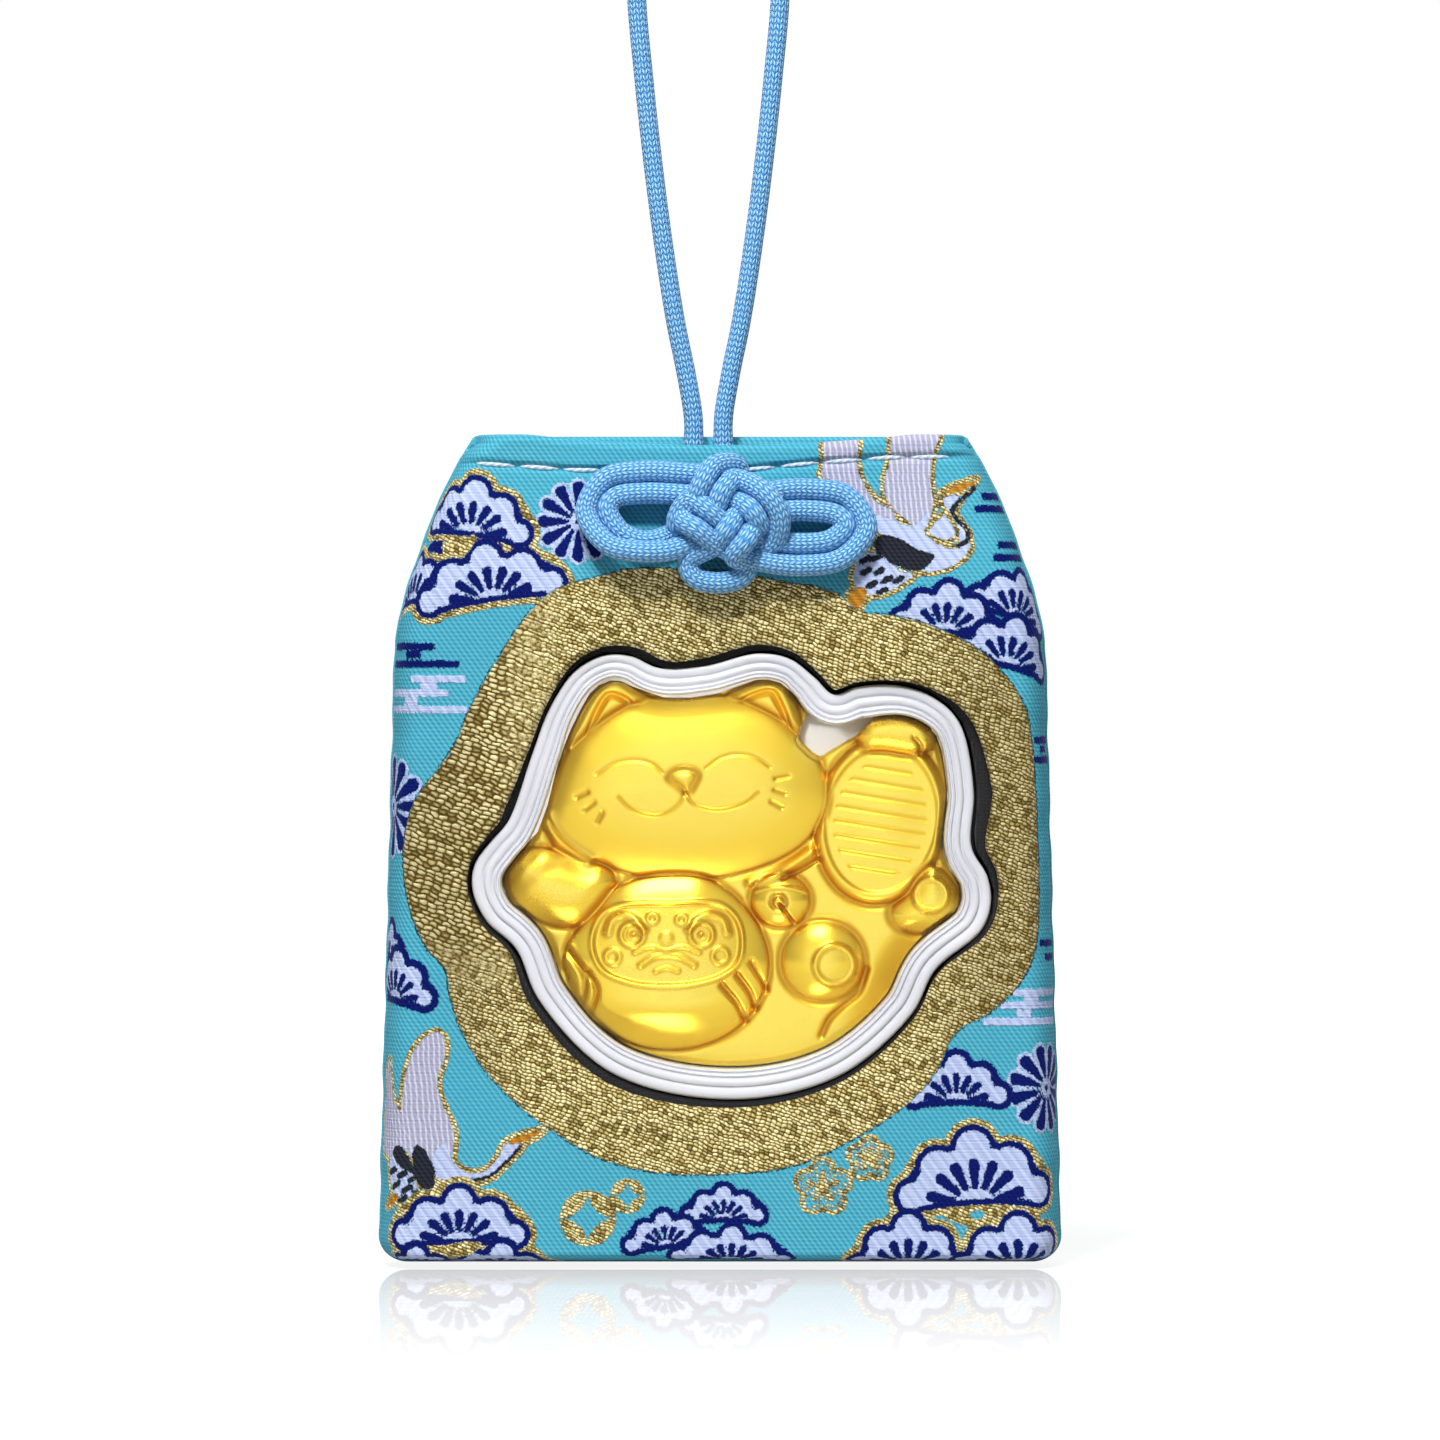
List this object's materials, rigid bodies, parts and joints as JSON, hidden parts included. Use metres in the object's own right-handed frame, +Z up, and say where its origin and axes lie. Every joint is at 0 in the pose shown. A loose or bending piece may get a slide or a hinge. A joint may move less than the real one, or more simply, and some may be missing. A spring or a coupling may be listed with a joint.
{
  "type": "amulet pouch",
  "caption": "Brocade good-luck pouch with a clear contour capsule showing a pressed gold cat, a looped decorative knot on its front and a hanging cord.",
  "frame": {"origin": "where a hook bears under the top of the hanging loop", "axes": "+Z up along the hanging cord, +X to the right of the front, the front facing -Y"},
  "size_m": [0.0584, 0.0139, 0.1203],
  "materials": {
    "cord": "braided",
    "brocade": "woven",
    "lining": "matt",
    "board": "matt foam board",
    "card": "matt",
    "white_plastic": "gloss",
    "clear_plastic": "clear",
    "gold": "polished foil"
  },
  "bodies": {
    "cord": {"hanging_loop": "cord"},
    "pouch": {"front_panel": "brocade", "back_panel": "brocade", "front_lining": "lining", "back_lining": "lining", "mount_board": "board", "stiffener_card": "card", "capsule_base": "white_plastic", "capsule_cover": "clear_plastic", "backing_card": "card", "gold_figure": "gold", "knot_cord": "cord"}
  },
  "joints": [
    {"name": "pouch_swing", "type": "hinge", "parent": "cord", "child": "pouch", "pos_m": [0, 0, -0.04618], "axis": [1, 0, 0], "range_deg": [-90, 90]}
  ]
}
